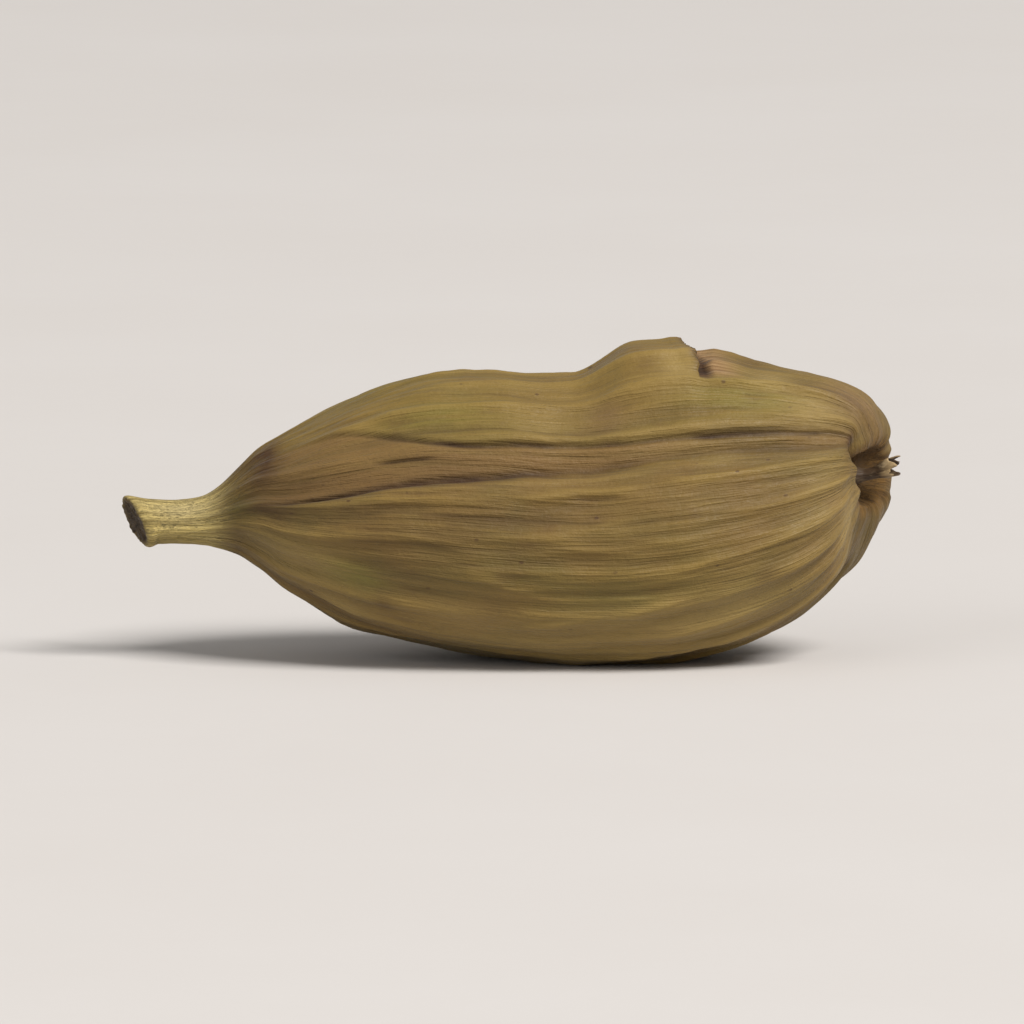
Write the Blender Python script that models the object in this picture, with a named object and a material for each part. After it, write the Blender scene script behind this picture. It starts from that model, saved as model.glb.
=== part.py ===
"""Green cardamom pod, lying on its side.

The dried fruit grew as one piece: a three-lobed husk that narrows at one end into its own short cut stalk, and at the
other end closes round a small pit with the dry stub of the flower in it. So it is one solid.

Pod space, in millimetres: x runs along the pod from the cut stalk (0) to the flower stub (LENGTH), y goes across it and
z is up, with z = 0 on the long axis. The finished part is in metres, standing on z = 0 with its box centred on x = y = 0.
"""

import math

import bmesh
import bpy
import numpy as np
from mathutils import Vector

for old in list(bpy.data.objects):
    bpy.data.objects.remove(old, do_unlink=True)

MM = 0.001

# Driving dimensions, in millimetres and degrees
LENGTH = 19.0  # tip to tip, stalk and flower stub included
MID_X = 9.535  # halfway between the tips
FLOOR = -3.56  # height of the small flat that the pod rests on
LOBE = 0.055  # how far the three lobes bulge, as a share of the radius
CREST_ANGLE, CREST_TURN = 93.0, 1.0  # the top lobe's crest at x = 6.2, and its turn for each millimetre along
GROOVE_DEEP, GROOVE_WIDE = 0.17, 6.5  # the furrows between the lobes
BUMP_HIGH, BUMP_FROM, BUMP_TOP, BUMP_TO, BUMP_ANGLE = 0.64, 10.95, 12.5, 14.35, 92.0  # swelling over one seed
CUT_SLANT, CUT_YAW = 21.0, 20.0  # the stalk was cut aslant, and its cut faces a little to the front
PIT_YAW, PIT_PITCH = 0.66, 0.11  # slope of the flower end towards -y and downwards

# Stations along the skin, from the middle of the cut stalk to the middle of the flower stub:
# x, top, bottom, half width, shift of the middle in y, share of the lobes
STATIONS = (
    (0.36, -0.08, -0.30, 0.11, 0.10, 0.0),  # pith of the cut stalk
    (0.33, 0.26, -0.66, 0.46, 0.10, 0.0),
    (0.31, 0.38, -0.78, 0.57, 0.10, 0.0),  # lip of the cut
    (0.43, 0.42, -0.82, 0.62, 0.10, 0.0),
    (0.78, 0.35, -0.74, 0.53, 0.08, 0.0),
    (1.30, 0.31, -0.72, 0.48, 0.05, 0.05),  # thinnest place of the stalk
    (1.95, 0.42, -0.76, 0.53, 0.02, 0.1),
    (2.40, 0.68, -0.85, 0.69, 0.00, 0.25),
    (2.85, 1.10, -1.00, 1.02, 0.00, 0.5),
    (3.35, 1.58, -1.32, 1.44, 0.00, 0.8),
    (3.95, 1.93, -1.76, 1.87, 0.00, 1.0),  # shoulder of the neck
    (4.75, 2.35, -2.22, 2.34, 0.00, 1.0),
    (5.65, 2.82, -2.68, 2.78, 0.00, 1.0),
    (6.65, 3.20, -3.02, 3.13, 0.00, 1.0),
    (7.80, 3.46, -3.33, 3.39, 0.00, 1.0),
    (9.10, 3.53, -3.56, 3.55, 0.00, 1.0),
    (10.50, 3.46, -3.67, 3.62, 0.00, 1.0),
    (11.90, 3.49, -3.72, 3.62, 0.00, 1.0),  # widest place
    (13.30, 3.65, -3.68, 3.55, 0.00, 1.0),
    (14.60, 3.73, -3.44, 3.40, 0.00, 1.0),
    (15.60, 3.67, -3.08, 3.16, 0.00, 1.0),
    (16.50, 3.54, -2.58, 2.82, -0.04, 1.0),
    (17.20, 3.36, -2.06, 2.42, -0.10, 1.0),
    (17.72, 3.12, -1.58, 1.98, -0.20, 1.0),
    (18.08, 2.82, -1.10, 1.58, -0.32, 0.9),
    (18.29, 2.42, -0.56, 1.18, -0.42, 0.7),
    (18.38, 2.02, -0.04, 0.90, -0.48, 0.5),  # brim of the pit at the flower end
    (18.30, 1.76, 0.22, 0.70, -0.50, 0.3),
    (18.02, 1.62, 0.36, 0.56, -0.50, 0.0),
    (17.88, 1.52, 0.46, 0.44, -0.50, 0.0),  # floor of the pit
    (17.96, 1.40, 0.56, 0.33, -0.50, 0.0),
    (18.55, 1.34, 0.62, 0.27, -0.54, 0.0),  # dry flower stub
    (18.90, 1.30, 0.66, 0.24, -0.60, 0.0),
    (18.93, 1.20, 0.76, 0.16, -0.60, 0.0),
    (18.88, 1.08, 0.88, 0.07, -0.60, 0.0),
)

# Meridians of one lobe, in degrees from its crest: closer together beside the furrow at 60
LOBE_STEPS = (0.0, 10.0, 20.0, 30.0, 39.0, 46.0, 51.5, 56.0, 60.0, 64.0, 68.5, 74.0, 81.0, 90.0, 100.0, 110.0)
RINGS = 54


def smooth_through(knots, values, at):
    """A curve through the values with no overshoot between them (monotone cubic)."""
    step = np.diff(knots)
    slope = np.diff(values) / step
    tangent = np.zeros(len(values))
    for i in range(1, len(values) - 1):
        if slope[i - 1] * slope[i] > 0:
            a, b = 2 * step[i] + step[i - 1], step[i] + 2 * step[i - 1]
            tangent[i] = (a + b) / (a / slope[i - 1] + b / slope[i])
    tangent[0], tangent[-1] = slope[0], slope[-1]
    i = np.clip(np.searchsorted(knots, at, side="right") - 1, 0, len(step) - 1)
    t = (at - knots[i]) / step[i]
    return (
        values[i] * (1 + 2 * t) * (1 - t) ** 2
        + tangent[i] * step[i] * t * (1 - t) ** 2
        + values[i + 1] * t * t * (3 - 2 * t)
        - tangent[i + 1] * step[i] * t * t * (1 - t)
    )


def ease(low, high, x):
    t = np.clip((x - low) / (high - low), 0.0, 1.0)
    return t * t * (3 - 2 * t)


def turn_between(a, b):
    """The angle from b to a, from -180 to 180."""
    return (a - b + 180.0) % 360.0 - 180.0


table = np.array(STATIONS)
knots = np.concatenate([[0.0], np.cumsum(np.hypot(np.diff(table[:, 0]), np.diff((table[:, 1] - table[:, 2]) / 2)))])
OUTWARD = np.arange(0.0, 360.0, 1.0)
BRIM = 26  # the station of the brim of the pit


def crest_at(x):
    """Where the top lobe's crest is, in degrees: the lobes twist slowly round the pod."""
    return CREST_ANGLE - CREST_TURN * (x - 6.2)


def skin(s, angle):
    """Points of the husk at distance s along a meridian and at these angles round the axis (0 is +y, 90 is up)."""
    x, top, bottom, wide, shift, lobes = (smooth_through(knots, column, s) for column in table.T)
    crest = crest_at(x)

    def radius(a):
        return 1.0 + LOBE * lobes * np.cos(np.radians(3.0 * (a - crest)))

    # The section's own extremes are stretched to the station's top, bottom and width.
    round_z = radius(OUTWARD) * np.sin(np.radians(OUTWARD))
    round_y = radius(OUTWARD) * np.cos(np.radians(OUTWARD))
    sine, cosine = np.sin(np.radians(angle)), np.cos(np.radians(angle))
    z = bottom + (radius(angle) * sine - round_z.min()) / (round_z.max() - round_z.min()) * (top - bottom)
    y = shift + wide * (-1.0 + 2.0 * (radius(angle) * cosine - round_y.min()) / (round_y.max() - round_y.min()))

    # Furrows between the lobes, shallow where the pod was pressed flat on its underside
    along = ease(2.2, 4.5, x) * (1.0 - 0.7 * ease(17.2, 18.4, x)) * (s < knots[BRIM])
    dent = np.zeros_like(angle)
    for lobe in range(3):
        off = turn_between(angle, crest + 60.0 + 120.0 * lobe)
        pressed = 1.0 - 0.8 * (lobe == 1) * ease(5.5, 8.0, x) * (1.0 - ease(14.5, 16.5, x))
        dent -= GROOVE_DEEP * along * pressed * np.exp(-((off / GROOVE_WIDE) ** 2))

    # The swelling over a seed rises slowly from the stalk side and ends steeply
    swell = ease(BUMP_FROM, BUMP_TOP, x) * (1.0 - 0.25 * ease(BUMP_TOP, BUMP_TO - 0.6, x))
    swell *= (1.0 - 0.6 * ease(BUMP_TO - 0.65, BUMP_TO, x)) * (1.0 - ease(BUMP_TO, BUMP_TO + 1.2, x)) * (s < knots[BRIM])
    dent += BUMP_HIGH * swell * np.exp(-((turn_between(angle, BUMP_ANGLE) / 24.0) ** 2))

    y = y + dent * cosine
    z = z + dent * sine

    # Aslant cut of the stalk
    middle = (top + bottom) / 2
    slope = math.tan(math.radians(CUT_SLANT)) * (z - middle) + math.tan(math.radians(CUT_YAW)) * (y - shift)
    x_here = x - slope * (1.0 - ease(0.35, 1.3, x)) * (s < knots[12])

    # The flower end faces a little to the front and down, and its lobes stand proud round the pit
    faced = ease(knots[BRIM] - 3.2, knots[BRIM], s)
    x_here = x_here + faced * (PIT_YAW * (y - shift) * math.exp(-(wide / 1.9) ** 2) + PIT_PITCH * (z - middle))
    x_here = x_here + 0.07 * math.exp(-(((s - knots[BRIM]) / 0.9) ** 2)) * np.cos(np.radians(3.0 * (angle - crest)))
    return np.stack([np.broadcast_to(x_here, angle.shape), y, z], axis=1)


def rings_along():
    """Distances along the meridian for the rings: even along the husk, with every station of the two ends kept."""
    ends = list(knots[1:9]) + list(knots[BRIM - 4 : -1])
    middle = np.linspace(knots[8], knots[BRIM - 4], RINGS - len(ends) + 2)[1:-1]
    return np.array(sorted(ends + list(middle)))


def build_pod():
    bm = bmesh.new()
    steps = np.array([step + 120.0 * lobe for lobe in range(3) for step in LOBE_STEPS])
    loops = []
    for s in rings_along():
        x = float(smooth_through(knots, table[:, 0], np.array(s)))
        points = skin(s, crest_at(x) + steps)
        loops.append([bm.verts.new(Vector(p)) for p in points])
    for a, b in zip(loops, loops[1:]):
        for k in range(len(a)):
            n = (k + 1) % len(a)
            bm.faces.new((a[k], a[n], b[n], b[k]))
    for loop in (loops[0], loops[-1]):  # middle of the cut stalk, and of the flower stub
        middle = bm.verts.new(sum((v.co for v in loop), Vector()) / len(loop))
        for k in range(len(loop)):
            bm.faces.new((loop[k], loop[(k + 1) % len(loop)], middle))
    bmesh.ops.recalc_face_normals(bm, faces=bm.faces)

    # The small flat it rests on
    everything = list(bm.verts) + list(bm.edges) + list(bm.faces)
    cut = bmesh.ops.bisect_plane(
        bm, geom=everything, dist=1e-5, plane_co=(0, 0, FLOOR), plane_no=(0, 0, -1), clear_outer=True
    )
    rim = [e for e in cut["geom_cut"] if isinstance(e, bmesh.types.BMEdge)]
    bmesh.ops.contextual_create(bm, geom=rim)
    bmesh.ops.recalc_face_normals(bm, faces=bm.faces)
    return bm


pod = build_pod()
low = [min(v.co[i] for v in pod.verts) for i in range(3)]
high = [max(v.co[i] for v in pod.verts) for i in range(3)]
for v in pod.verts:
    v.co = Vector(((v.co.x - MID_X) * MM, v.co.y * MM, (v.co.z - FLOOR) * MM))
print("pod space box", [round(c, 3) for c in low], [round(c, 3) for c in high])

mesh = bpy.data.meshes.new("cardamom_pod")
pod.to_mesh(mesh)
pod.free()
mesh.shade_smooth()
mesh.set_sharp_from_angle(angle=math.radians(50))

husk = bpy.data.materials.new("dry_husk")
husk.use_nodes = True
shader = husk.node_tree.nodes["Principled BSDF"]
shader.inputs["Base Color"].default_value = (0.235, 0.175, 0.070, 1.0)
shader.inputs["Roughness"].default_value = 0.62
shader.inputs["Metallic"].default_value = 0.0
mesh.materials.append(husk)

body = bpy.data.objects.new("cardamom_pod", mesh)
bpy.context.scene.collection.objects.link(body)
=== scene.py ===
"""Looks of a dried green cardamom pod lying on a plain pale surface.

The husk is one mesh, made ring by ring from the same stations as the solid it stands for, with the ribs, folds, furrows,
torn bump, cut stalk and flower pit shaped in it. Masks stored on its points tell the husk's material where each is.
Pod space is in millimetres: x from the cut stalk to the flower end, z up, and angles round the pod in degrees, with 0
at +y, 90 at the top and 180 towards the viewer.
"""

import math

import bmesh
import bpy
import numpy as np
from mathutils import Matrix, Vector


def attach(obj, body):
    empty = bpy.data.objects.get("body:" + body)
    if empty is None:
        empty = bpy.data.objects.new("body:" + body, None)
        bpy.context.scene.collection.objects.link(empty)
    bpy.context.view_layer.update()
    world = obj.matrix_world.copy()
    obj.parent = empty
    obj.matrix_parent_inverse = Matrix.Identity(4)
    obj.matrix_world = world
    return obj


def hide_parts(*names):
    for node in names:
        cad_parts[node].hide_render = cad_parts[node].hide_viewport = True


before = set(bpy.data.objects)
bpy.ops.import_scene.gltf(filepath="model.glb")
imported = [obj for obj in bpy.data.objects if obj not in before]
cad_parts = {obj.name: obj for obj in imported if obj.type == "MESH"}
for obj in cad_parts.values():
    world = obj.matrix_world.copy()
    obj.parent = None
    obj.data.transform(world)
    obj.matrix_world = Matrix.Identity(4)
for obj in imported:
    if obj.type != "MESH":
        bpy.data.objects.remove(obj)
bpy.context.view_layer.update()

MM = 0.001
MID_X, FLOOR = 9.535, -3.56
LOBE = 0.055
CREST_ANGLE, CREST_TURN = 93.0, 1.0
GROOVE_DEEP, GROOVE_WIDE = 0.17, 6.5
BUMP_HIGH, BUMP_FROM, BUMP_TOP, BUMP_TO, BUMP_ANGLE = 0.64, 10.95, 12.5, 14.35, 92.0
CUT_SLANT, CUT_YAW = 21.0, 20.0
PIT_YAW, PIT_PITCH = 0.66, 0.11

# x, top, bottom, half width, shift of the middle in y, share of the lobes
STATIONS = (
    (0.36, -0.08, -0.30, 0.11, 0.10, 0.0),
    (0.33, 0.26, -0.66, 0.46, 0.10, 0.0),
    (0.31, 0.38, -0.78, 0.57, 0.10, 0.0),
    (0.43, 0.42, -0.82, 0.62, 0.10, 0.0),
    (0.78, 0.35, -0.74, 0.53, 0.08, 0.0),
    (1.30, 0.31, -0.72, 0.48, 0.05, 0.05),
    (1.95, 0.42, -0.76, 0.53, 0.02, 0.1),
    (2.40, 0.68, -0.85, 0.69, 0.00, 0.25),
    (2.85, 1.10, -1.00, 1.02, 0.00, 0.5),
    (3.35, 1.58, -1.32, 1.44, 0.00, 0.8),
    (3.95, 1.93, -1.76, 1.87, 0.00, 1.0),
    (4.75, 2.35, -2.22, 2.34, 0.00, 1.0),
    (5.65, 2.82, -2.68, 2.78, 0.00, 1.0),
    (6.65, 3.20, -3.02, 3.13, 0.00, 1.0),
    (7.80, 3.46, -3.33, 3.39, 0.00, 1.0),
    (9.10, 3.53, -3.56, 3.55, 0.00, 1.0),
    (10.50, 3.46, -3.67, 3.62, 0.00, 1.0),
    (11.90, 3.49, -3.72, 3.62, 0.00, 1.0),
    (13.30, 3.65, -3.68, 3.55, 0.00, 1.0),
    (14.60, 3.73, -3.44, 3.40, 0.00, 1.0),
    (15.60, 3.67, -3.08, 3.16, 0.00, 1.0),
    (16.50, 3.54, -2.58, 2.82, -0.04, 1.0),
    (17.20, 3.36, -2.06, 2.42, -0.10, 1.0),
    (17.72, 3.12, -1.58, 1.98, -0.20, 1.0),
    (18.08, 2.82, -1.10, 1.58, -0.32, 0.9),
    (18.29, 2.42, -0.56, 1.18, -0.42, 0.7),
    (18.38, 2.02, -0.04, 0.90, -0.48, 0.5),
    (18.30, 1.76, 0.22, 0.70, -0.50, 0.3),
    (18.02, 1.62, 0.36, 0.56, -0.50, 0.0),
    (17.88, 1.50, 0.48, 0.42, -0.50, 0.0),
    (17.86, 1.30, 0.68, 0.24, -0.50, 0.0),
    (17.86, 1.04, 0.94, 0.05, -0.50, 0.0),
)
BRIM = 26

# The sunken strip towards the viewer: x, its upper and its lower edge in degrees, how strong each edge is, and how
# strong the raised rib beside it is. Each edge's crease is darkened with painted shade, and the rib is lightened with
# painted light on its lit lip.
STRIP = np.array(
    (
        (2.6, 118.0, 171.0, 0.10, 0.20, 0.1, 0.1),
        (4.2, 120.0, 163.5, 0.15, 0.95, 0.2, 0.1),
        (5.6, 125.0, 159.5, 0.35, 1.25, 0.3, 0.2),
        (6.7, 133.0, 157.0, 0.55, 1.30, 0.3, 0.3),
        (7.7, 138.0, 155.0, 0.90, 1.30, 0.3, 0.5),
        (8.7, 139.0, 153.0, 0.95, 1.25, 0.3, 1.0),
        (10.0, 137.5, 150.0, 0.80, 0.90, 0.3, 0.7),
        (11.0, 137.0, 148.2, 0.75, 0.50, 0.3, 1.1),
        (12.0, 137.0, 146.8, 0.75, 0.90, 0.8, 1.1),
        (13.0, 137.2, 145.6, 0.80, 0.40, 1.0, 0.4),
        (14.6, 137.5, 144.5, 1.00, 0.30, 0.8, 0.5),
        (18.4, 137.0, 143.5, 0.80, 0.30, 0.5, 0.3),
    )
)


# ---------------------------------------------------------------- numbers
def smooth_through(knots, values, at):
    """A curve through the values with no overshoot between them (monotone cubic)."""
    step = np.diff(knots)
    slope = np.diff(values) / step
    tangent = np.zeros(len(values))
    for i in range(1, len(values) - 1):
        if slope[i - 1] * slope[i] > 0:
            a, b = 2 * step[i] + step[i - 1], step[i] + 2 * step[i - 1]
            tangent[i] = (a + b) / (a / slope[i - 1] + b / slope[i])
    tangent[0], tangent[-1] = slope[0], slope[-1]
    i = np.clip(np.searchsorted(knots, at, side="right") - 1, 0, len(step) - 1)
    t = (at - knots[i]) / step[i]
    return (
        values[i] * (1 + 2 * t) * (1 - t) ** 2
        + tangent[i] * step[i] * t * (1 - t) ** 2
        + values[i + 1] * t * t * (3 - 2 * t)
        - tangent[i + 1] * step[i] * t * t * (1 - t)
    )


def ease(low, high, x):
    t = np.clip((x - low) / (high - low), 0.0, 1.0)
    return t * t * (3 - 2 * t)


def turn_between(a, b):
    """The angle from b to a, from -180 to 180."""
    return (a - b + 180.0) % 360.0 - 180.0


def bell(x, middle, wide):
    return np.exp(-(((x - middle) / wide) ** 2))


def noise(x, y, z, seed=0):
    """Smooth gradient noise, about -1 to 1."""
    x, y, z = np.broadcast_arrays(np.asarray(x, float), np.asarray(y, float), np.asarray(z, float))
    ix, iy, iz = (np.floor(c).astype(np.int64) for c in (x, y, z))
    fx, fy, fz = x - ix, y - iy, z - iz
    u, v, w = (f * f * f * (f * (f * 6 - 15) + 10) for f in (fx, fy, fz))

    def corner(dx, dy, dz):
        h = (ix + dx) * 73856093 ^ (iy + dy) * 19349663 ^ (iz + dz) * 83492791 ^ (seed * 2654435 + 97)
        h = (h & 0xFFFFFFFF) * 1103515245 & 0xFFFFFFFF
        h ^= h >> 15
        h = ((h & 0xFFFF) * 2246822519 + ((h >> 16) * 2246822519 % 65536 << 16)) & 0xFFFFFFFF
        h ^= h >> 13
        gx, gy, gz = ((h >> k & 1023) / 511.5 - 1.0 for k in (0, 10, 20))
        return gx * (fx - dx) + gy * (fy - dy) + gz * (fz - dz)

    def mix(a, b, t):
        return a + (b - a) * t

    low = mix(mix(corner(0, 0, 0), corner(1, 0, 0), u), mix(corner(0, 1, 0), corner(1, 1, 0), u), v)
    high = mix(mix(corner(0, 0, 1), corner(1, 0, 1), u), mix(corner(0, 1, 1), corner(1, 1, 1), u), v)
    return 1.5 * mix(low, high, w)


def layered(x, y, z, seed=0, layers=3, gain=0.5):
    total, size = 0.0, 1.0
    for k in range(layers):
        total = total + size * noise(x * 2.03**k, y * 2.03**k, z * 2.03**k, seed + 11 * k)
        size *= gain
    return total


# ---------------------------------------------------------------- the pod's body
table = np.array(STATIONS)
knots = np.concatenate([[0.0], np.cumsum(np.hypot(np.diff(table[:, 0]), np.diff((table[:, 1] - table[:, 2]) / 2)))])
OUTWARD = np.arange(0.0, 360.0, 1.0)


def crest_at(x):
    return CREST_ANGLE - CREST_TURN * (x - 6.2)


def body_skin(s, angle):
    """The body without its fine relief: points at distance s along a meridian, at these angles."""
    x, top, bottom, wide, shift, lobes = (smooth_through(knots, column, s) for column in table.T)
    crest = crest_at(x)

    def radius(a):
        return 1.0 + LOBE * lobes * np.cos(np.radians(3.0 * (a - crest)))

    round_z = radius(OUTWARD) * np.sin(np.radians(OUTWARD))
    round_y = radius(OUTWARD) * np.cos(np.radians(OUTWARD))
    sine, cosine = np.sin(np.radians(angle)), np.cos(np.radians(angle))
    z = bottom + (radius(angle) * sine - round_z.min()) / (round_z.max() - round_z.min()) * (top - bottom)
    y = shift + wide * (-1.0 + 2.0 * (radius(angle) * cosine - round_y.min()) / (round_y.max() - round_y.min()))

    along = ease(2.2, 4.5, x) * (1.0 - 0.7 * ease(17.2, 18.4, x)) * (1.0 - ease(knots[BRIM] - 0.3, knots[BRIM] + 0.15, s))
    dent = np.zeros_like(angle)
    for lobe in range(3):
        off = turn_between(angle, crest + 60.0 + 120.0 * lobe)
        pressed = 1.0 - 0.8 * (lobe == 1) * ease(5.5, 8.0, x) * (1.0 - ease(14.5, 16.5, x))
        dent = dent - GROOVE_DEEP * along * pressed * np.exp(-((off / GROOVE_WIDE) ** 2))

    # The swelling over a seed, its skin torn short at its far end
    off = turn_between(angle, BUMP_ANGLE)
    torn = torn_across(off)
    end = (1.0 - torn) * ease(BUMP_TO - 0.65, BUMP_TO, x) + torn * ease(-0.02, 0.10, x - tear_line(off))
    swell = ease(BUMP_FROM, BUMP_TOP, x) * (1.0 - 0.16 * ease(BUMP_TOP, BUMP_TO - 0.3, x))
    swell = swell * (1.0 - 0.6 * end) * (1.0 - ease(BUMP_TO, BUMP_TO + 1.2, x)) * (s < knots[BRIM])
    dent = dent + BUMP_HIGH * swell * np.exp(-((off / 24.0) ** 2))
    y = y + dent * cosine
    z = z + dent * sine

    middle = (top + bottom) / 2
    slope = math.tan(math.radians(CUT_SLANT)) * (z - middle) + math.tan(math.radians(CUT_YAW)) * (y - shift)
    x_here = x - slope * (1.0 - ease(0.35, 1.3, x)) * (s < knots[12])
    faced = ease(knots[BRIM] - 3.2, knots[BRIM], s)
    x_here = x_here + faced * (PIT_YAW * (y - shift) * math.exp(-((wide / 1.9) ** 2)) + PIT_PITCH * (z - middle))
    near = math.exp(-(((s - knots[BRIM]) / 0.9) ** 2))
    x_here = x_here + near * (0.08 * np.cos(np.radians(3.0 * (angle - crest))) - 0.30 * bell(turn_between(angle, crest + 60.0), 0.0, 13.0))
    return np.stack([x_here, y, z], axis=-1)


def tear_line(off):
    """Where along x the torn lip of the bump ends, off degrees from the bump's middle."""
    ragged = 0.09 * noise(off * 0.13, 3.7, 0.0, 5) + 0.07 * noise(off * 0.40, 1.7, 0.0, 6) + 0.02 * noise(off * 1.3, 0.7, 0.0, 4)
    return 13.66 + 0.022 * np.clip(off, -14, 22) + ragged


def torn_across(off):
    """1 where the bump's skin is torn, 0 to both sides."""
    return ease(-16.0, -5.0, off) * (1.0 - ease(12.0, 20.0, off))


# ---------------------------------------------------------------- fine relief
rng = np.random.default_rng(41)
RIBS = []  # lobe, degrees from the lobe's crest, height in mm, width in mm, from x, to x, seed, degrees turned per mm
for lobe in range(3):
    for k, place in enumerate((-47.5, -31.0, -15.0, 0.5, 14.0, 27.5, 46.5)):
        high = (0.145, 0.105, 0.100, 0.145, 0.105, 0.160, 0.120)[k] * (0.84 if lobe == 1 else 1.0)
        RIBS.append((lobe, place + rng.uniform(-1.2, 1.2), high, rng.uniform(0.13, 0.18), 1.6, 19.5, 100 + 10 * lobe + k, 0.0))
    for k in range(13):  # fine ribs between them, each over part of the length
        start = rng.uniform(1.5, 11.0)
        place = -51.0 + 8.5 * k + rng.uniform(-3.0, 3.0)
        RIBS.append((lobe, place, rng.uniform(0.035, 0.07), rng.uniform(0.075, 0.11), start, start + rng.uniform(4.0, 9.0), 300 + 20 * lobe + k, 0.0))
RIBS += [
    (1, 12.4, 0.12, 0.16, 3.6, 7.2, 501, 0.0),  # low on the lobe towards the viewer, beside the neck
    (1, 2.5, 0.13, 0.15, 8.6, 14.8, 502, -2.5),
    (1, 9.7, -0.09, 0.17, 9.7, 14.9, 503, -3.0),
]


def relief(s, x, angle, radius, point):
    """Height of the fine relief along the normal, in mm, and the masks of this ring of points."""
    crest = crest_at(x)
    mm_per_degree = radius * math.pi / 180.0
    sine, cosine = np.sin(np.radians(angle)), np.cos(np.radians(angle))
    ry, rz = 3.5 * cosine, 3.5 * sine
    inside = s >= knots[BRIM]
    husk = float(ease(1.9, 3.2, x) * (1.0 - ease(knots[BRIM], knots[BRIM] + 0.3, s)))
    held = float(ease(1.9, 3.2, x) * (1.0 - ease(knots[BRIM] - 0.45, knots[BRIM] + 0.15, s)))
    small = min(1.0, radius / 2.3)
    near_brim = 1.0 - 0.55 * float(ease(knots[BRIM] - 1.2, knots[BRIM], s))

    # Distance from the nearest furrow between lobes, in degrees
    from_front = turn_between(angle, crest + 60.0)
    front = np.abs(from_front) < 60.0
    high_side, low_side, upper_share, lower_share, above_share, below_share = (
        float(smooth_through(STRIP[:, 0], column, np.clip(x, 2.6, 18.4))) for column in STRIP[:, 1:].T
    )
    off_furrow = np.where(front, turn_between(angle, (high_side + low_side) / 2), (from_front + 60.0) % 120.0 - 60.0)
    half = np.where(front, (low_side - high_side) / 2, 5.0 + 3.0 * (1.0 - float(ease(5.0, 9.0, x))))
    upper_share, lower_share = np.where(front, upper_share, 0.9), np.where(front, lower_share, 0.9)
    above_share, below_share = np.where(front, above_share, 0.6), np.where(front, below_share, 0.6)
    wander = 0.9 * noise(x * 0.5, angle * 0.004, 0.0, 7) + 0.5 * noise(x * 1.3, angle * 0.004, 0.0, 8)
    band = 1.0 - ease(half - 1.4, half + 1.0, np.abs(off_furrow + wander))
    fade = float(ease(2.4, 4.2, x)) * (1.0 - 0.8 * float(ease(17.3, 18.4, x)))
    brown = band * np.where(front, 1.0 - 0.7 * float(ease(12.8, 14.6, x)), 1.0)
    # The edges' creases; the edge mask also darkens them with painted shade
    upper_edge = upper_share * bell(off_furrow + wander, -half, 1.35) * (0.95 + 0.35 * noise(x * 0.6, 0.3, angle * 0.004, 9))
    lower_edge = lower_share * bell(off_furrow + wander, half, 1.7) * (1.0 + 0.20 * noise(x * 0.5, 5.3, angle * 0.004, 10))
    edge = upper_edge + lower_edge
    for at, start, stop, much in ((145.8, 5.9, 7.9, 0.75), (161.5, 10.7, 12.4, 0.5), (168.5, 5.8, 7.8, 0.4)):
        short = bell(turn_between(angle, at) + wander, 0.0, 1.0) * float(ease(start, start + 0.7, x) * (1.0 - ease(stop - 0.7, stop, x)))
        edge = edge + much * short
    edge = np.clip(edge, 0.0, 1.35)
    # The raised rib beside the strip; the ridge mask also lightens it with painted light
    ridge = above_share * bell(off_furrow + wander, -half - 3.6, 1.5) + below_share * bell(off_furrow + wander, half + 5.0, 1.6)
    ridge = ridge * (0.80 + 0.6 * noise(x * 0.45, 2.3, angle * 0.004, 12)).clip(0.0, 1.0)

    # Lengthwise ribs
    rib, groove = np.zeros_like(angle), np.zeros_like(angle)
    for lobe, place, high, wide, start, stop, seed, turn in RIBS:
        place += turn * (x - (start + stop) / 2)
        centre = crest + 120.0 * lobe + place + 1.7 * float(noise(x * 0.23, seed * 1.37, 0.0, 1)) + 0.55 * float(
            noise(x * 0.8, seed * 1.37, 0.0, 2)
        )
        size = high * (0.72 + 0.55 * float(noise(x * 0.33, seed * 2.11, 0.0, 3)) + 0.25 * float(noise(x * 1.1, seed * 2.11, 0.0, 4)))
        size *= float(ease(start, start + 1.6, x)) * (1.0 - float(ease(stop - 1.8, stop, x)))
        if abs(size) <= 0.002:
            continue
        away = np.abs(turn_between(angle, centre)) * mm_per_degree / (wide * small**0.8)
        here = size * np.exp(-(away**1.45))
        if high < 0:
            groove = groove + here
        else:
            rib = np.maximum(rib, here) + 0.25 * np.minimum(rib, here)

    calm = 1.0 - 0.6 * band * fade
    lumps = 0.085 * layered(s * 0.30, ry * 0.36, rz * 0.36, 21, 2) + 0.040 * noise(s * 0.62, ry * 0.8, rz * 0.8, 22)
    folds = 0.085 * ((1.0 - np.abs(layered(s * 0.16, ry * 1.05, rz * 1.05, 23, 2))) ** 2 - 0.5)
    fine = 0.026 * layered(s * 0.34, ry * 2.7, rz * 2.7, 24, 2)
    cross = 0.016 * noise(s * 3.1, ry * 1.1, rz * 1.1, 25) * ease(-0.2, 0.5, noise(s * 0.5, ry * 0.5, rz * 0.5, 26))
    crisp = (rib + groove + folds + fine) * near_brim
    high = small * calm * (crisp + cross) + lumps * small**1.5 - 0.07 * small
    high = high - fade * (0.105 * edge + 0.02 * band - 0.050 * ridge) * small
    high = high * held

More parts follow.
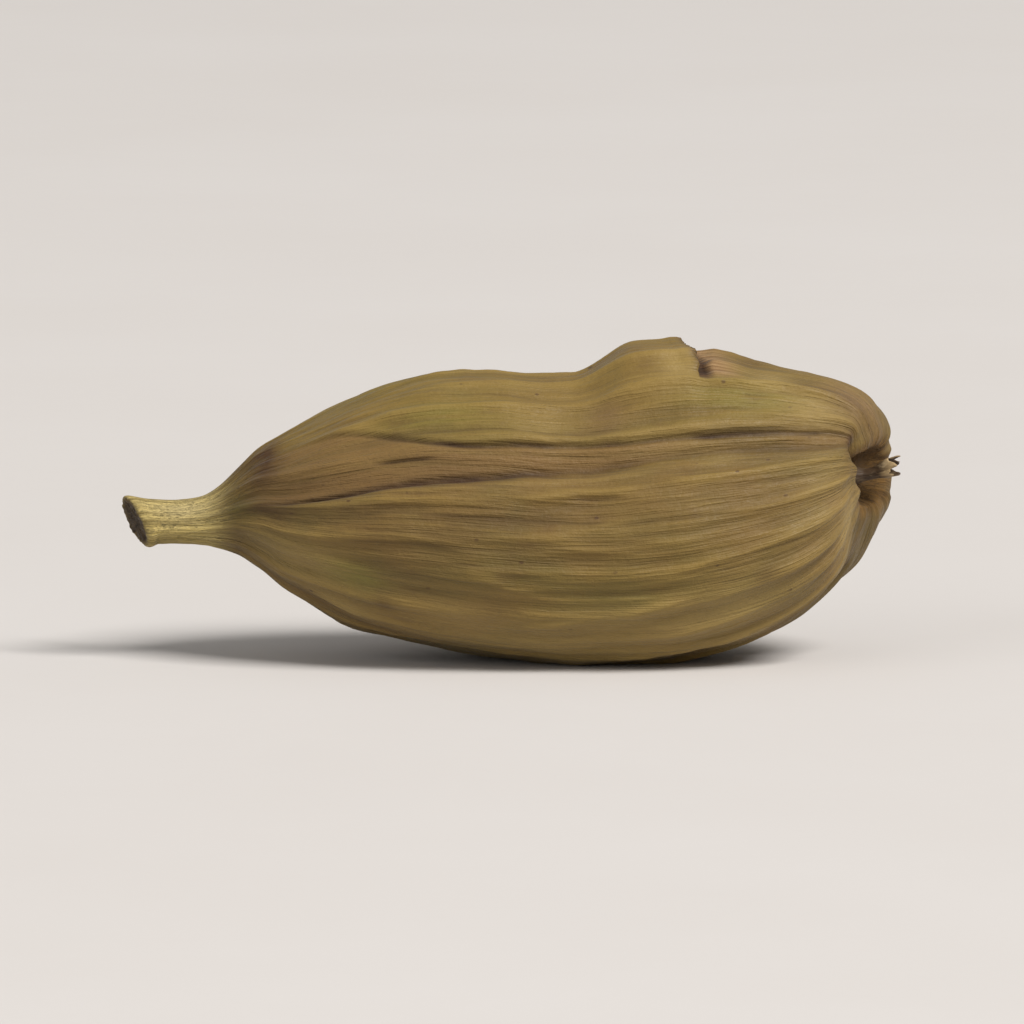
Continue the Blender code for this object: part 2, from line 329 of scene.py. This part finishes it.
    # Pleats drawn together at the neck and round the brim of the pit
    neck = float(ease(1.7, 2.6, x)) * (1.0 - float(ease(3.4, 5.6, x))) * (not inside)
    pleat = np.abs(np.sin(np.radians(angle * 6.5 + 14.0 * noise(x * 0.6, ry * 0.5, rz * 0.5, 31))))
    high = high + neck * 0.075 * (0.55 - pleat) * min(1.0, radius / 1.1)
    brim = float(ease(knots[BRIM] - 1.3, knots[BRIM] - 0.2, s)) * (1.0 - float(ease(knots[BRIM] + 0.15, knots[BRIM] + 0.5, s)))
    pucker = np.abs(np.sin(np.radians(angle * 5.5 + 25.0 * noise(s * 0.7, ry * 0.6, rz * 0.6, 32))))
    high = high + brim * (0.06 * (0.5 - pucker) + 0.05 * noise(s * 1.1, ry * 1.0, rz * 1.0, 33))

    # Fluted stalk and its cut end
    stalk = 1.0 - float(ease(1.9, 2.9, x)) if not inside else 0.0
    shaft = stalk * float(ease(knots[2] - 0.02, knots[3], s))
    flute = np.sin(np.radians(angle * 7.0 + 40.0 * x)) * (0.6 + 0.8 * noise(0.3, ry * 0.35, rz * 0.35, 39)) + 0.6 * np.sin(
        np.radians(angle * 11.0 - 25.0 * x + 60.0 + 90.0 * noise(0.7, ry * 0.3, rz * 0.3, 40))
    )
    high = high + shaft * (0.016 * flute + 0.035 * noise(s * 0.9, ry * 0.25, rz * 0.25, 34) + 0.012 * noise(s * 2.0, ry * 2.2, rz * 2.2, 35))
    cut = 1.0 - float(ease(knots[2] - 0.1, knots[3] - 0.02, s))
    high = high + cut * 0.05 * layered(point[:, 1] * 5.5, point[:, 2] * 5.5, s * 1.3, 36, 3)
    lip = float(bell(s, knots[3] - 0.05, 0.12))
    high = high + lip * (0.035 * noise(0.5, ry * 1.1, rz * 1.1, 37) + 0.02 * noise(0.5, ry * 2.7, rz * 2.7, 38))

    # The torn lip of the bump, the gap under it, darkened with painted shadow, and the bare spot behind
    off = turn_between(angle, BUMP_ANGLE)
    across = torn_across(off) * (not inside)
    past = x - tear_line(off)
    lifted = bell(past, -0.08, 0.20) * across * (past < 0.06)
    open_ = 0.31 + 0.15 * bell(off, 5.0, 9.0) + 0.07 * noise(off * 0.12, 0.9, 0.0, 44)
    gap = ease(0.04, 0.10, past) * (1.0 - ease(0.75 * open_, open_ + 0.20, past)) * ease(-17.0, -9.0, off) * (1.0 - ease(13.0, 21.0, off)) * (not inside)
    bare = ease(0.10, 0.30, past) * (1.0 - ease(0.5, 1.5, past + 0.25 * noise(s * 1.2, angle * 0.15, 0.0, 43))) * across
    shred = noise(s * 0.9, angle * 0.33, 0.0, 41) + 0.6 * noise(s * 2.2, angle * 0.8, 0.0, 42)
    high = high + 0.05 * lifted - 0.10 * gap - 0.03 * bare + 0.020 * bare * shred
    forward = (0.12 * bell(past, -0.02, 0.07) - 0.08 * bell(past, 0.13, 0.07)) * across

    # Thin brownish skin rolled over towards the pit, and a spot before the bump
    rolled = bell(x, 17.9, 0.75) * bell(turn_between(angle, 100.0), 0.0, 24.0) * (1.0 + 0.5 * noise(s * 1.1, ry, rz, 45))
    rosy = np.clip((rolled + 0.75 * bell(x, 11.8, 0.5) * bell(turn_between(angle, 124.0), 0.0, 7.0)) * husk, 0.0, 1.0)

    ragged = 0.16 * noise(ry * 1.1, rz * 1.1, 0.3, 46) + 0.09 * noise(ry * 3.7, rz * 3.7, s * 0.5, 47)

    masks = {
        "rib": np.clip(0.30 + crisp / 0.16, 0.0, 1.0) * husk,
        "furrow": np.clip(brown * fade * husk, 0.0, 1.0),
        "edge": np.clip(edge * fade * husk, 0.0, 1.0),
        "ridge": np.clip(ridge * fade * husk, 0.0, 1.0),
        "stalk": np.full_like(angle, stalk),
        "cut": np.full_like(angle, cut),
        "bare": np.clip(0.9 * bare, 0.0, 1.0),
        # painted shadow in the gap under the torn lip, darkest right at the lip
        "gap": np.clip(np.maximum(1.1 * gap, 0.7 * across * bell(past, 0.0, 0.06)), 0.0, 1.0),
        "pit": ease(knots[BRIM] - 0.15, knots[BRIM] + 0.42, s + ragged),
        "deep": np.full_like(angle, float(ease(knots[BRIM] + 0.30, knots[BRIM] + 0.75, s))),
        "rosy": rosy,
    }
    return high, forward, masks


def mark_spots(x, angle):
    """Stains, pale places, painted shade and painted light, each listed: x, angle, length, width in degrees, strength.
    """
    stain = np.zeros_like(angle)
    for at, turn, long, wide, much in (
        (3.45, 118.0, 0.42, 26.0, 1.1),  # where the neck folds in above the stalk
        # darker in the crease where the neck meets the stalk
        (3.65, 171.0, 0.65, 9.0, 0.65),
        (2.75, 60.0, 0.5, 30.0, 0.7),
        (11.85, 123.5, 0.5, 6.0, 0.15),
        # painted shade along the strip's lower crease
        (7.0, 155.5, 2.6, 4.5, 0.35),
        (17.2, 108.0, 0.9, 4.0, 0.5),
        (18.1, 141.0, 0.25, 12.0, 0.9),
        (7.0, 182.0, 1.6, 8.0, 0.30),
        (9.2, 172.0, 1.3, 6.0, 0.25),
        (6.4, 215.0, 0.25, 4.0, 0.5),
        (15.7, 200.0, 0.35, 4.0, 0.35),
        (5.0, 236.0, 1.2, 8.0, 0.35),
        (15.3, 84.0, 0.8, 10.0, 0.5),
        (12.6, 20.0, 1.6, 12.0, 0.5),
        (6.2, 330.0, 1.1, 14.0, 0.5),
        (10.2, 300.0, 1.8, 10.0, 0.4),
        (8.0, 60.0, 0.8, 9.0, 0.35),
    ):
        rough = 1.0 + 0.55 * noise(x * 1.4, angle * 0.06, 0.0, 51)
        stain = stain + much * np.exp(-(((x - at) / long) ** 2 + (turn_between(angle, turn) / wide) ** 2) * rough)
    # Paler places. Most are painted light: highlights on the stalk, the torn lip and the upper lobe, and light painted
    # on the underside and its lower rim. The others are paler skin.
    pale = np.zeros_like(angle)
    for at, turn, long, wide, much in (
        (1.5, 140.0, 0.8, 30.0, 1.0),  # painted highlight on the sunny side of the stalk
        (13.3, 139.0, 0.9, 4.0, 0.7),
        # painted highlight on the torn lip
        (13.55, 106.0, 0.42, 9.0, 0.95),
        (17.5, 92.0, 0.9, 14.0, 0.25),
        (15.9, 106.0, 0.5, 7.0, 0.9),
        # light painted on the underside, here and on the next line
        (8.2, 213.0, 1.1, 8.0, 0.4),
        (12.2, 211.0, 1.5, 8.0, 0.45),
        (18.25, 210.0, 0.35, 24.0, 1.0),
        (16.9, 124.0, 0.7, 8.0, 0.95),
        (11.0, 230.0, 4.0, 15.0, 1.0),
        (15.0, 213.0, 1.8, 13.0, 0.9),
        (4.3, 204.0, 1.2, 18.0, 0.9),
        # painted highlight on the upper lobe
        (10.3, 125.0, 0.7, 7.0, 0.22),
        (17.3, 170.0, 0.9, 22.0, 0.45),
        # light painted on the lower rim near the flower end
        (16.5, 236.0, 1.7, 5.5, 1.5),
        (5.5, 226.0, 0.9, 4.0, 0.7),
        (14.6, 148.0, 0.5, 4.0, 0.5),
        (7.5, 20.0, 1.4, 9.0, 0.5),
        (15.0, 330.0, 1.4, 12.0, 0.5),
    ):
        pale = pale + much * np.exp(-(((x - at) / long) ** 2 + (turn_between(angle, turn) / wide) ** 2))
    green = np.zeros_like(angle)
    for at, turn, long, wide, much in (
        (5.5, 203.0, 0.8, 7.0, 1.2),
        (2.8, 165.0, 0.4, 16.0, 0.7),
        (7.8, 124.0, 1.6, 11.0, 1.0),
        (12.6, 202.0, 3.0, 16.0, 0.4),
        (15.3, 120.0, 1.5, 9.0, 1.2),
        (9.5, 350.0, 3.0, 24.0, 0.7),
        (13.5, 45.0, 2.5, 20.0, 0.7),
        (6.0, 80.0, 1.8, 18.0, 0.6),
        (11.0, 265.0, 3.0, 18.0, 0.6),
    ):
        green = green + much * np.exp(-(((x - at) / long) ** 2 + (turn_between(angle, turn) / wide) ** 2))
    return np.clip(stain, 0, 1), np.clip(pale, 0, 1.5), np.clip(green, 0, 1)


def ring_places():
    """Distances of the rings along a meridian, closer together at the cut, the torn lip and the pit."""
    mid = np.linspace(knots[0], knots[-1], 6000)
    x = smooth_through(knots, table[:, 0], mid)
    gap = np.full_like(mid, 0.112)
    gap = np.where(mid < knots[4], 0.045, gap)
    gap = np.where((mid >= knots[4]) & (x < 3.0) & (mid < knots[12]), 0.075, gap)
    gap = np.where((x > 13.3) & (x < 14.95) & (mid < knots[BRIM]), 0.040, gap)
    gap = np.where(mid > knots[BRIM] - 0.7, 0.050, gap)
    count = np.concatenate([[0.0], np.cumsum(np.diff(mid) / gap[1:])])
    places = np.interp(np.arange(0.0, count[-1], 1.0), count, mid)
    return places


FULL = 448
WORDS = ("rib", "furrow", "edge", "ridge", "stalk", "cut", "bare", "gap", "pit", "deep", "rosy")


def points_round(s):
    """How many points a ring gets, so that they stay about as far apart."""
    _, top, bottom, wide, _, _ = (float(smooth_through(knots, column, s)) for column in table.T)
    radius = (wide + (top - bottom) / 2) / 2
    for count, least in ((FULL, 1.15), (FULL // 2, 0.42), (FULL // 4, 0.24), (FULL // 8, 0.1)):
        if radius > least:
            return count, radius
    return FULL // 16, radius


def build_husk():
    coords, faces, values = [], [], {w: [] for w in WORDS + ("stain", "pale", "green", "upper")}
    where = []
    loops = []
    for s in ring_places():
        count, radius = points_round(s)
        angle = np.arange(count) * 360.0 / count
        x = float(smooth_through(knots, table[:, 0], s))
        point = body_skin(s, angle)
        ds, da = 0.01, 0.25
        along = body_skin(s + ds, angle) - body_skin(s - ds, angle)
        round_ = body_skin(s, angle + da) - body_skin(s, angle - da)
        normal = np.cross(round_, along)
        normal /= np.linalg.norm(normal, axis=1, keepdims=True) + 1e-12
        high, forward, masks = relief(s, x, angle, radius, point)
        point = point + normal * high[:, None]
        point[:, 0] += forward
        point[:, 2] = np.maximum(point[:, 2], FLOOR)
        stain, pale, green = (spots * (1.0 - ease(knots[BRIM], knots[BRIM] + 0.3, s)) for spots in mark_spots(x, angle))
        masks.update(stain=stain, pale=pale, green=green)
        crest = crest_at(x)
        masks["upper"] = 1.0 - ease(50.0, 58.0, np.abs(turn_between(angle, crest)))
        start = sum(len(c) for c in coords)
        coords.append(point)
        where.append(np.stack([np.full(count, s), 3.5 * np.cos(np.radians(angle)), 3.5 * np.sin(np.radians(angle))], 1))
        for w in values:
            values[w].append(masks[w])
        loops.append(np.arange(start, start + count))
    for a, b in zip(loops, loops[1:]):
        if len(a) == len(b):
            n = len(a)
            for k in range(n):
                faces.append((a[k], a[(k + 1) % n], b[(k + 1) % n], b[k]))
        else:
            flip = len(b) > len(a)
            many, few = (b, a) if flip else (a, b)
            n, m = len(many), len(few)
            step = n // m
            for k in range(m):
                fan = [
                    (many[(k * step + j) % n], many[(k * step + j + 1) % n], few[k] if j < step // 2 else few[(k + 1) % m])
                    for j in range(step)
                ]
                fan.append((many[(k * step + step // 2) % n], few[(k + 1) % m], few[k]))
                faces.extend(tuple(reversed(f)) for f in fan) if flip else faces.extend(fan)
    faces.append(tuple(reversed(loops[0])))
    faces.append(tuple(loops[-1]))
    coords = np.concatenate(coords)
    coords = (coords - (MID_X, 0.0, FLOOR)) * MM
    mesh = bpy.data.meshes.new("cardamom_husk")
    mesh.from_pydata(coords.tolist(), [], [tuple(int(i) for i in f) for f in faces])
    for w, parts in values.items():
        layer = mesh.attributes.new(w, "FLOAT", "POINT")
        layer.data.foreach_set("value", np.concatenate(parts).astype(np.float32))
    layer = mesh.attributes.new("skin", "FLOAT_VECTOR", "POINT")
    layer.data.foreach_set("vector", np.concatenate(where).astype(np.float32).ravel())
    mesh.update()
    mesh.shade_smooth()
    return mesh


def build_flower_stub():
    """The dry stub of the flower: a crumpled papery tube, torn into short tips, with its foot in the pit."""
    round_, rise, thick = 72, 22, 0.028
    foot, out = np.array([17.80, -0.50, 0.98]), np.array([1.0, -0.16, 0.06])
    out = out / np.linalg.norm(out)
    side = np.cross(out, (0.0, 0.0, 1.0))
    side /= np.linalg.norm(side)
    up = np.cross(side, out)
    turn = np.arange(round_) * 2 * math.pi / round_
    cs, sn = np.cos(turn), np.sin(turn)
    tips = 1.05 + 0.17 * noise(cs * 1.3, sn * 1.3, 0.4, 61) + 0.16 * np.abs(np.sin(turn * 2.5 + 0.7)) ** 2 + 0.07 * noise(cs * 5, sn * 5, 1.4, 62)
    coords, tip = [], []
    for inner in (0, 1):
        for j in range(rise):
            t = j / (rise - 1)
            reach = t * tips
            wide = 0.30 - 0.13 * ease(0.0, 0.35, t) + 0.10 * ease(0.5, 1.0, t)
            crumple = 0.055 * t * layered(cs * 1.6, sn * 1.6, reach * 2.2, 63, 3) + 0.03 * np.abs(np.sin(turn * 4.5)) * t
            wide = wide + crumple - inner * thick * (1.0 - 0.6 * t)
            lean = 0.20 * t**2
            coords.append(foot + out * reach[:, None] + side * (wide * cs)[:, None] + up * (wide * sn * 0.85 + lean)[:, None])
            tip.append(np.full(round_, t) - 0.5 * inner)
    faces = []
    rows = [np.arange(round_) + k * round_ for k in range(2 * rise)]
    order = rows[:rise] + rows[rise:][::-1]
    for a, b in zip(order, order[1:] + order[:1]):
        for k in range(round_):
            n = (k + 1) % round_
            faces.append((int(a[k]), int(a[n]), int(b[n]), int(b[k])))
    coords = (np.concatenate(coords) - (MID_X, 0.0, FLOOR)) * MM
    mesh = bpy.data.meshes.new("flower_stub")
    mesh.from_pydata(coords.tolist(), [], faces)
    layer = mesh.attributes.new("tip", "FLOAT", "POINT")
    layer.data.foreach_set("value", np.concatenate(tip).astype(np.float32))
    mesh.update()
    outward(mesh)
    mesh.shade_smooth()
    return mesh


def outward(mesh):
    """Turns every face of a closed mesh to the outside."""
    bm = bmesh.new()
    bm.from_mesh(mesh)
    bmesh.ops.recalc_face_normals(bm, faces=bm.faces)
    bm.to_mesh(mesh)
    bm.free()


# ---------------------------------------------------------------- materials
class Tree:
    """Short names for making shader nodes."""

    def __init__(self, name):
        self.material = bpy.data.materials.new(name)
        self.material.use_nodes = True
        self.nodes, self.links = self.material.node_tree.nodes, self.material.node_tree.links
        self.shader = self.nodes["Principled BSDF"]

    def put(self, socket, value):
        if isinstance(value, bpy.types.NodeSocket):
            self.links.new(value, socket)
        else:
            socket.default_value = value

    def attribute(self, name, vector=False):
        node = self.nodes.new("ShaderNodeAttribute")
        node.attribute_name = name
        return node.outputs["Vector" if vector else "Fac"]

    def stretch(self, vector, scale, move=(0, 0, 0)):
        node = self.nodes.new("ShaderNodeMapping")
        node.inputs["Scale"].default_value = scale
        node.inputs["Location"].default_value = move
        self.put(node.inputs["Vector"], vector)
        return node.outputs["Vector"]

    def noise(self, vector, scale=1.0, detail=2.0, rough=0.5, warp=0.0):
        node = self.nodes.new("ShaderNodeTexNoise")
        self.put(node.inputs["Vector"], vector)
        node.inputs["Scale"].default_value = scale
        node.inputs["Detail"].default_value = detail
        node.inputs["Roughness"].default_value = rough
        node.inputs["Distortion"].default_value = warp
        return node.outputs["Fac"]

    def cells(self, vector, scale=1.0):
        node = self.nodes.new("ShaderNodeTexVoronoi")
        self.put(node.inputs["Vector"], vector)
        node.inputs["Scale"].default_value = scale
        return node.outputs["Distance"]

    def range(self, value, low, high, to_low=0.0, to_high=1.0, soft=True):
        node = self.nodes.new("ShaderNodeMapRange")
        node.interpolation_type = "SMOOTHSTEP" if soft else "LINEAR"
        for name, v in zip(("Value", "From Min", "From Max", "To Min", "To Max"), (value, low, high, to_low, to_high)):
            self.put(node.inputs[name], v)
        return node.outputs["Result"]

    def math(self, kind, a, b=0.0, clamp=False):
        node = self.nodes.new("ShaderNodeMath")
        node.operation, node.use_clamp = kind, clamp
        self.put(node.inputs[0], a)
        self.put(node.inputs[1], b)
        return node.outputs[0]

    def mix(self, fac, a, b, kind="MIX"):
        node = self.nodes.new("ShaderNodeMix")
        node.data_type, node.blend_type = "RGBA", kind
        self.put(node.inputs["Factor"], fac)
        self.put(node.inputs[6], a if isinstance(a, bpy.types.NodeSocket) else colour(*a))
        self.put(node.inputs[7], b if isinstance(b, bpy.types.NodeSocket) else colour(*b))
        return node.outputs[2]

    def bump(self, height, distance, strength=1.0, before=None):
        node = self.nodes.new("ShaderNodeBump")
        node.inputs["Strength"].default_value = strength
        node.inputs["Distance"].default_value = distance
        self.put(node.inputs["Height"], height)
        if before is not None:
            self.put(node.inputs["Normal"], before)
        return node.outputs["Normal"]


def colour(r, g, b):
    """An sRGB colour from 0 to 255, as the renderer wants it."""
    return tuple(c / 12.92 if c <= 0.04045 else ((c + 0.055) / 1.055) ** 2.4 for c in (r / 255, g / 255, b / 255)) + (1.0,)


def husk_material():
    t = Tree("dry_husk")
    skin = t.attribute("skin", vector=True)
    rib, furrow, edge, ridge = (t.attribute(w) for w in ("rib", "furrow", "edge", "ridge"))
    stain, pale, green, upper = (t.attribute(w) for w in ("stain", "pale", "green", "upper"))
    stalk, cut, bare, gap = (t.attribute(w) for w in ("stalk", "cut", "bare", "gap"))
    pit, deep, rosy = (t.attribute(w) for w in ("pit", "deep", "rosy"))

    fibres = t.noise(t.stretch(skin, (0.22, 5.0, 5.0)), 1.0, 3.0, 0.6, 0.3)
    threads = t.noise(t.stretch(skin, (0.7, 19.0, 19.0), (3, 1, 7)), 1.0, 2.0, 0.6)
    clouds = t.noise(t.stretch(skin, (0.35, 0.55, 0.55), (9, 4, 2)), 1.0, 3.0, 0.55, 0.4)
    patches = t.noise(t.stretch(skin, (0.9, 1.6, 1.6), (5, 8, 1)), 1.0, 3.0, 0.6)
    paper = t.noise(t.stretch(skin, (7.0, 9.0, 9.0), (2, 2, 2)), 1.0, 3.0, 0.65)

    # Green and olive between the veins, straw on them
    base = t.mix(t.range(clouds, 0.36, 0.66), (110, 85, 39), (101, 82, 37))
    base = t.mix(t.math("MULTIPLY", green, 0.75), base, (104, 97, 34))
    # Lighter, yellower olive on the upper lobe: its own tone, with painted light on the top side
    base = t.mix(t.math("MULTIPLY", upper, 0.38), base, (127, 104, 46))
    base = t.mix(t.range(patches, 0.52, 0.78, 0.0, 0.45), base, (88, 63, 31))
    base = t.mix(t.range(fibres, 0.50, 0.72, 0.0, 0.50), base, (132, 106, 51))
    base = t.mix(t.range(fibres, 0.46, 0.28, 0.0, 0.50), base, (78, 59, 26))
    base = t.mix(t.range(threads, 0.55, 0.8, 0.0, 0.45), base, (146, 121, 64))
    base = t.mix(t.range(rib, 0.42, 0.05, 0.0, 0.42), base, (76, 58, 26))
    base = t.mix(t.range(rib, 0.50, 1.0, 0.0, 0.45), base, (140, 114, 55))
    # Paler places, most of them painted light: highlights, and light painted on the underside and its rim; the rest
    # paler skin
    base = t.mix(t.math("MULTIPLY", pale, 0.60), base, (152, 128, 74))
    base = t.mix(t.math("MULTIPLY", rosy, t.range(threads, 0.35, 0.65, 0.45, 0.9)), base, (116, 90, 57))
    base = t.mix(t.math("MULTIPLY", furrow, t.range(fibres, 0.3, 0.6, 0.30, 0.62)), base, (117, 87, 49))
    # Raised rib beside the strip: straw, made lighter with painted light on its lit lip
    base = t.mix(t.math("MULTIPLY", ridge, t.range(fibres, 0.3, 0.6, 0.20, 0.60)), base, (145, 119, 64))
    # Painted shade: dark brown in the creases along the strip's edges and in a few short creases
    base = t.mix(t.math("MULTIPLY", edge, t.range(patches, 0.3, 0.6, 0.65, 1.0)), base, (54, 34, 12))
    # Stains, with painted shade along the strip's lower crease
    base = t.mix(t.math("MULTIPLY", stain, t.range(patches, 0.30, 0.60, 0.55, 1.0)), base, (70, 44, 18))
    base = t.mix(t.math("MULTIPLY", bare, 0.80), base, t.mix(t.range(threads, 0.35, 0.65), (122, 90, 60), (172, 138, 102)))
    # Painted shadow in the gap under the torn lip
    base = t.mix(gap, base, t.mix(t.range(threads, 0.35, 0.65), (50, 31, 13), (80, 52, 25)))

    # Specks
    specks = t.cells(t.stretch(skin, (1.3, 2.0, 2.0), (1, 4, 2)), 1.0)
    dots = t.math("MULTIPLY", t.range(specks, 0.10, 0.055), t.range(patches, 0.45, 0.62))
    base = t.mix(t.math("MULTIPLY", dots, 0.8), base, (69, 45, 21))

    # Stalk: straw yellow, greener below, dark brown where it was cut
    shaft = t.mix(t.range(fibres, 0.38, 0.62), (142, 120, 56), (200, 176, 104))
    shaft = t.mix(t.range(threads, 0.45, 0.7, 0.0, 0.6), shaft, (220, 200, 140))
    # Painted highlight along the stalk's sunny top
    shaft = t.mix(t.math("MULTIPLY", pale, 0.45), shaft, (232, 212, 156))
    base = t.mix(stalk, base, shaft)
    face = t.mix(t.range(paper, 0.42, 0.66), (52, 36, 17), (108, 84, 44))
    base = t.mix(cut, base, face)
    base = t.mix(pit, base, t.mix(t.range(patches, 0.35, 0.65), (94, 66, 25), (124, 91, 41)))
    base = t.mix(deep, base, (100, 71, 27))
    t.put(t.shader.inputs["Base Color"], base)

    rough = t.range(fibres, 0.3, 0.7, 0.66, 0.50)
    rough = t.math("ADD", rough, t.range(paper, 0.3, 0.7, -0.05, 0.07))
    rough = t.math("ADD", rough, t.math("MULTIPLY", t.math("MAXIMUM", bare, pit), 0.25), clamp=True)
    t.put(t.shader.inputs["Roughness"], rough)
    t.shader.inputs["Specular IOR Level"].default_value = 0.32
    t.shader.inputs["Sheen Weight"].default_value = 0.06
    t.shader.inputs["Sheen Roughness"].default_value = 0.5

    height = t.math("ADD", t.math("MULTIPLY", fibres, 1.0), t.math("MULTIPLY", threads, 0.42))
    normal = t.bump(height, 0.00009, 1.0)
    normal = t.bump(paper, 0.000022, 1.0, normal)
    t.put(t.shader.inputs["Normal"], normal)
    return t.material


def flower_material():
    t = Tree("dry_flower")
    spot = t.nodes.new("ShaderNodeTexCoord").outputs["Object"]
    tip = t.attribute("tip")
    grain = t.noise(t.stretch(spot, (2500.0, 9000.0, 9000.0)), 1.0, 3.0, 0.6)
    blots = t.noise(spot, 3500.0, 2.0, 0.5)
    # Darker towards the foot down in the pit, a painted shade of the pit; paler towards the torn tips
    base = t.mix(t.range(t.math("ADD", tip, t.math("MULTIPLY", blots, 0.5)), 0.88, 1.28), (60, 41, 18), (156, 132, 94))
    base = t.mix(t.math("MULTIPLY", t.range(grain, 0.5, 0.75, 0.0, 0.6), tip, clamp=True), base, (172, 150, 113))
    base = t.mix(t.range(grain, 0.45, 0.3, 0.0, 0.6), base, (78, 54, 32))
    t.put(t.shader.inputs["Base Color"], base)
    t.put(t.shader.inputs["Roughness"], t.range(blots, 0.3, 0.7, 0.6, 0.8))
    t.put(t.shader.inputs["Normal"], t.bump(grain, 0.00003, 0.9))
    return t.material


def floor_material():
    t = Tree("pale_surface")
    spot = t.nodes.new("ShaderNodeTexCoord").outputs["Object"]
    haze = t.noise(spot, 60.0, 3.0, 0.5)
    t.put(t.shader.inputs["Base Color"], t.mix(haze, (199, 194, 190), (203, 199, 196)))
    t.put(t.shader.inputs["Roughness"], t.range(t.noise(spot, 900.0, 2.0, 0.5), 0.3, 0.7, 0.74, 0.80))
    t.shader.inputs["Specular IOR Level"].default_value = 0.12
    return t.material


# ---------------------------------------------------------------- camera first, then the pieces
def aim(obj, target):
    direction = np.array(target) - np.array(obj.location)
    obj.rotation_euler = Vector(direction).to_track_quat("-Z", "Y").to_euler()


camera = bpy.data.objects.new("camera", bpy.data.cameras.new("camera"))
bpy.context.scene.collection.objects.link(camera)
camera.data.lens, camera.data.sensor_width = 640.0, 36.0
camera.data.clip_start, camera.data.clip_end = 0.01, 20.0
ELEVATION, DISTANCE, AIM = 7.0, 0.445, (0.0, 0.0, 0.0036)
tilt = math.radians(ELEVATION)
camera.location = (AIM[0], AIM[1] - DISTANCE * math.cos(tilt), AIM[2] + DISTANCE * math.sin(tilt))
aim(camera, AIM)
bpy.context.scene.camera = camera

husk = bpy.data.objects.new("husk", build_husk())
bpy.context.scene.collection.objects.link(husk)
husk.data.materials.append(husk_material())
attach(husk, "root")
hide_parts("cardamom_pod")

stub = bpy.data.objects.new("flower_stub", build_flower_stub())
bpy.context.scene.collection.objects.link(stub)
stub.data.materials.append(flower_material())
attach(stub, "root")
print("triangles", {o.name: sum(len(p.vertices) - 2 for p in o.data.polygons) for o in (husk, stub)})

floor_mesh = bpy.data.meshes.new("floor")
floor_mesh.from_pydata([(-3, -3, 0), (3, -3, 0), (3, 3, 0), (-3, 3, 0)], [], [(0, 1, 2, 3)])
floor_mesh.materials.append(floor_material())
floor = bpy.data.objects.new("floor", floor_mesh)
floor.location.z = -0.00001
bpy.context.scene.collection.objects.link(floor)


def softbox(name, place, size, watts, tint, target=(0.0, 0.0, 0.003)):
    light = bpy.data.lights.new(name, "AREA")
    light.shape, light.size, light.size_y = "RECTANGLE", size[0], size[1]
    light.energy, light.color = watts, tint
    obj = bpy.data.objects.new(name, light)
    bpy.context.scene.collection.objects.link(obj)
    obj.location = place
    obj.visible_camera = False
    aim(obj, target)
    return obj


softbox("key", (0.84, -0.66, 1.20), (0.80, 0.66), 35.0, (1.0, 0.985, 0.965))
softbox("fill", (-1.14, -1.02, 0.60), (1.20, 0.90), 5.4, (0.96, 0.98, 1.0))
world = bpy.data.worlds.new("studio")
world.use_nodes = True
world.node_tree.nodes["Background"].inputs["Color"].default_value = (0.80, 0.79, 0.77, 1.0)
world.node_tree.nodes["Background"].inputs["Strength"].default_value = 0.40
bpy.context.scene.world = world
bpy.context.scene.view_settings.view_transform = "Standard"
